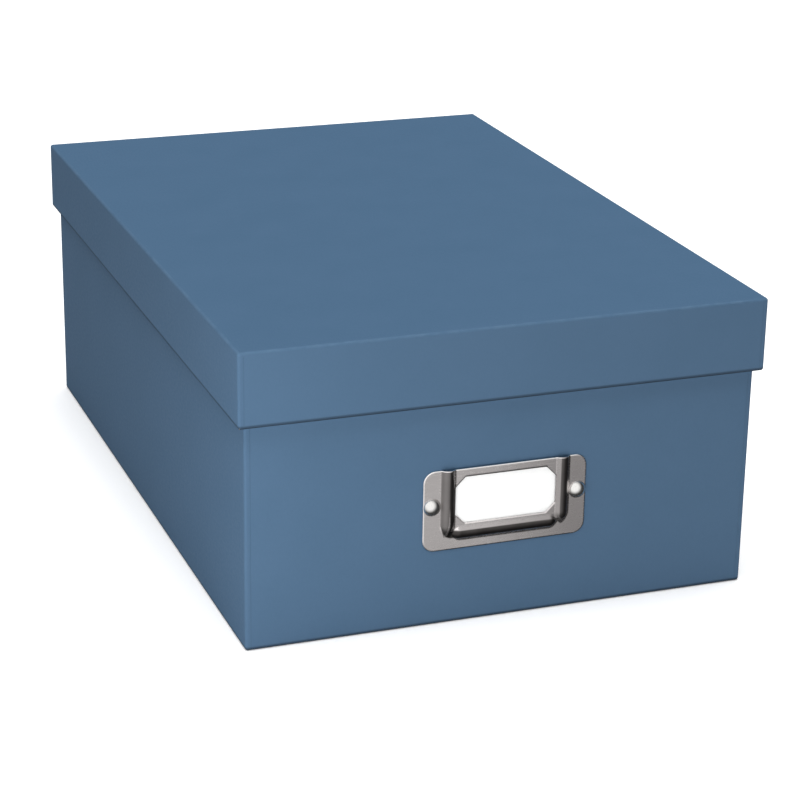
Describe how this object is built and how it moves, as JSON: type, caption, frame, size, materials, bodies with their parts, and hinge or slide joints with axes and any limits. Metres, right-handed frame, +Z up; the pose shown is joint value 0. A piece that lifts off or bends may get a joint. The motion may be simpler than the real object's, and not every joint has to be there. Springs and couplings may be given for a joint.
{
  "type": "photo storage box with lift-off lid",
  "caption": "Paper-covered greyboard storage box for photo prints and cards, with a lift-off lid and a stamped metal label frame that holds a card.",
  "frame": {"origin": "centre of the underside, on the surface that the box stands on", "axes": "+Z up, -Y towards the front wall with the label frame, +X to the right as seen from the front"},
  "size_m": [0.197, 0.286, 0.111],
  "materials": {
    "cover_paper": "satin",
    "greyboard": "matte",
    "lining_paper": "matte",
    "corner_tape": "matte",
    "nickel_plate": "satin",
    "nickel_dome": "polished",
    "label_stock": "matte"
  },
  "bodies": {
    "tray": {"tray_bottom_board": "greyboard", "tray_front_board": "greyboard", "tray_back_board": "greyboard", "tray_left_board": "greyboard", "tray_right_board": "greyboard", "tray_corner_tapes": "corner_tape", "tray_wrap_base": "cover_paper", "tray_wrap_sides": "cover_paper", "tray_floor_liner": "lining_paper", "tray_wall_liner": "lining_paper", "label_frame": "nickel_plate", "left_paper_fastener": "nickel_dome", "right_paper_fastener": "nickel_dome"},
    "label_card": {"label_card": "label_stock"},
    "lid": {"lid_top_board": "greyboard", "lid_front_board": "greyboard", "lid_back_board": "greyboard", "lid_left_board": "greyboard", "lid_right_board": "greyboard", "lid_corner_tapes": "corner_tape", "lid_wrap": "cover_paper", "lid_top_liner": "lining_paper", "lid_skirt_liner": "lining_paper"}
  },
  "joints": [
    {"name": "lid_lift", "type": "slide", "parent": "tray", "child": "lid", "axis": [0, 0, 1], "range_m": [0, 0.15]},
    {"name": "label_card_slide", "type": "slide", "parent": "tray", "child": "label_card", "axis": [0, 0, 1], "range_m": [0, 0.025]}
  ]
}
